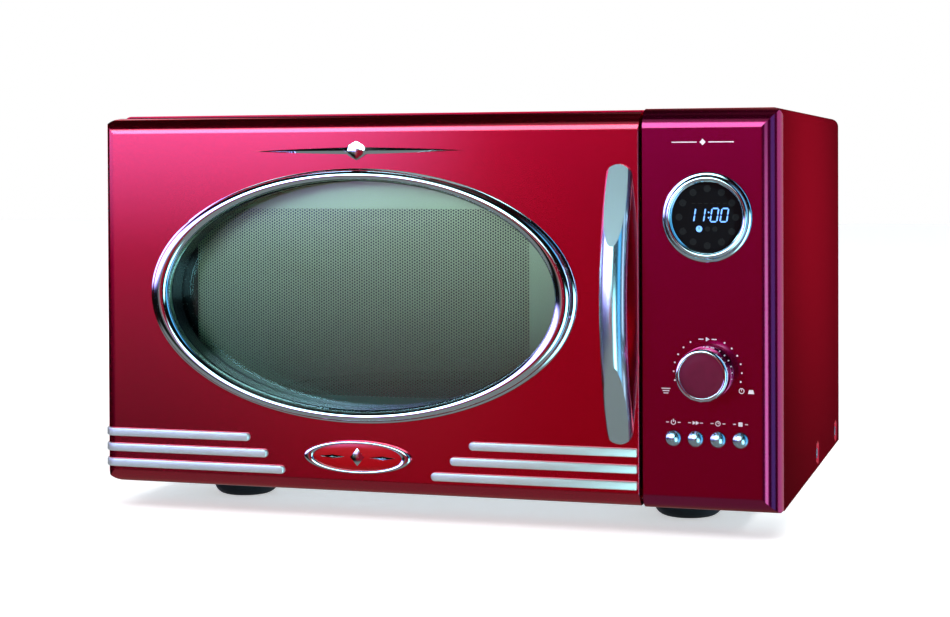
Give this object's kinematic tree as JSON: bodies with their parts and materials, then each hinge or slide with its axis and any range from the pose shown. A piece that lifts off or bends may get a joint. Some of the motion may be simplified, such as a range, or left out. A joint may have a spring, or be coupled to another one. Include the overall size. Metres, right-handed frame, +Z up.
{
  "type": "microwave oven",
  "caption": "Countertop microwave oven with an oval chrome-ringed window in a side-hinged door, arched handle, round display, push dial and push buttons.",
  "frame": {"origin": "middle of the footprint, on the surface the feet stand on", "axes": "+Z up, +X to the right as seen from the front, +Y from the door towards the back"},
  "size_m": [0.451, 0.343, 0.26],
  "materials": {
    "red_enamel": "metallic gloss",
    "door_paint": "metallic candy gloss",
    "panel_paint": "metallic candy gloss",
    "badge_enamel": "gloss",
    "chrome": "polished",
    "galvanised": "satin",
    "cavity_paint": "satin",
    "screen_steel": "satin",
    "black_plastic": "satin",
    "white_plastic": "satin",
    "mica": "matt",
    "rubber": "matt",
    "glass": "clear",
    "lens": "gloss",
    "core_iron": "varnished",
    "copper": "lacquered",
    "aluminium": "satin",
    "board": "satin"
  },
  "bodies": {
    "oven": {"cabinet": "red_enamel", "base_plate": "galvanised", "rear_panel": "galvanised", "front_frame": "red_enamel", "cavity": "cavity_paint", "waveguide": "galvanised", "waveguide_cover": "mica", "magnetron": "aluminium", "transformer_core": "core_iron", "transformer_coils": "copper", "capacitor": "galvanised", "fan_shroud": "black_plastic", "fan_motor": "galvanised", "lamp": "glass", "lamp_holder": "white_plastic", "turntable_motor": "galvanised", "latch_bracket": "white_plastic", "interlock_switches": "black_plastic", "thermal_cutout": "galvanised", "filter_board": "board", "cord_inlet": "rubber", "feet": "rubber", "case_screws": "galvanised", "control_panel": "panel_paint", "display_bezel": "chrome", "display_lens": "lens", "display_module": "white_plastic", "control_board": "board", "encoder": "galvanised", "hinge_brackets": "galvanised"},
    "door": {"door_shell": "door_paint", "window_ring": "chrome", "window_glass": "glass", "door_screen": "screen_steel", "choke_cover": "black_plastic", "inner_window": "glass", "handle": "chrome", "handle_screws": "galvanised", "strips_left": "chrome", "strips_right": "chrome", "badge_rim": "chrome", "badge_face": "badge_enamel", "spear_trim": "chrome"},
    "latch": {"latch_hooks": "white_plastic"},
    "turntable": {"glass_turntable": "glass", "coupler": "white_plastic"},
    "roller_ring": {"roller_ring": "white_plastic"},
    "roller_1": {"roller_1": "white_plastic"},
    "roller_2": {"roller_2": "white_plastic"},
    "roller_3": {"roller_3": "white_plastic"},
    "fan": {"fan_blade": "white_plastic"},
    "dial_press": {"dial_plunger": "white_plastic"},
    "dial": {"dial_shaft": "galvanised", "dial_knob": "chrome", "dial_face": "badge_enamel"},
    "button_1": {"button_1": "chrome"},
    "button_2": {"button_2": "chrome"},
    "button_3": {"button_3": "chrome"},
    "button_4": {"button_4": "chrome"}
  },
  "joints": [
    {"name": "door_hinge", "type": "hinge", "parent": "oven", "child": "door", "pos_m": [-0.2135, -0.1275, 0.138], "axis": [0, 0, -1], "range_deg": [0, 105]},
    {"name": "latch_lift", "type": "slide", "parent": "door", "child": "latch", "axis": [0, 0, 1], "range_m": [0, 0.004], "stiffness_N_per_m": 300, "springref_m": -0.002},
    {"name": "turntable_spin", "type": "hinge", "parent": "oven", "child": "turntable", "pos_m": [-0.044, 0.0245, 0.046], "axis": [0, 0, 1], "continuous": true},
    {"name": "roller_ring_spin", "type": "hinge", "parent": "oven", "child": "roller_ring", "pos_m": [-0.044, 0.0245, 0.0469], "axis": [0, 0, 1], "continuous": true},
    {"name": "roller_1_spin", "type": "hinge", "parent": "roller_ring", "child": "roller_1", "pos_m": [0.049, 0.0245, 0.0469], "axis": [1, 0, 0], "continuous": true},
    {"name": "roller_2_spin", "type": "hinge", "parent": "roller_ring", "child": "roller_2", "pos_m": [-0.0905, 0.10504, 0.0469], "axis": [-0.5, 0.866, 0], "continuous": true},
    {"name": "roller_3_spin", "type": "hinge", "parent": "roller_ring", "child": "roller_3", "pos_m": [-0.0905, -0.05604, 0.0469], "axis": [-0.5, -0.866, 0], "continuous": true},
    {"name": "fan_spin", "type": "hinge", "parent": "oven", "child": "fan", "pos_m": [0.168, 0.1315, 0.138], "axis": [0, 1, 0], "continuous": true},
    {"name": "dial_push", "type": "slide", "parent": "oven", "child": "dial_press", "axis": [0, 1, 0], "range_m": [0, 0.001], "stiffness_N_per_m": 800},
    {"name": "dial_turn", "type": "hinge", "parent": "dial_press", "child": "dial", "pos_m": [0.181, -0.1545, 0.1006], "axis": [0, 1, 0], "continuous": true},
    {"name": "button_1_push", "type": "slide", "parent": "oven", "child": "button_1", "axis": [0, 1, 0], "range_m": [0, 0.001], "stiffness_N_per_m": 400},
    {"name": "button_2_push", "type": "slide", "parent": "oven", "child": "button_2", "axis": [0, 1, 0], "range_m": [0, 0.001], "stiffness_N_per_m": 400},
    {"name": "button_3_push", "type": "slide", "parent": "oven", "child": "button_3", "axis": [0, 1, 0], "range_m": [0, 0.001], "stiffness_N_per_m": 400},
    {"name": "button_4_push", "type": "slide", "parent": "oven", "child": "button_4", "axis": [0, 1, 0], "range_m": [0, 0.001], "stiffness_N_per_m": 400}
  ],
  "couplings": [
    {"joint": "roller_ring_spin", "follows": "turntable_spin", "ratio": 0.5},
    {"joint": "roller_1_spin", "follows": "turntable_spin", "ratio": -7.0455},
    {"joint": "roller_2_spin", "follows": "turntable_spin", "ratio": -7.0455},
    {"joint": "roller_3_spin", "follows": "turntable_spin", "ratio": -7.0455}
  ]
}
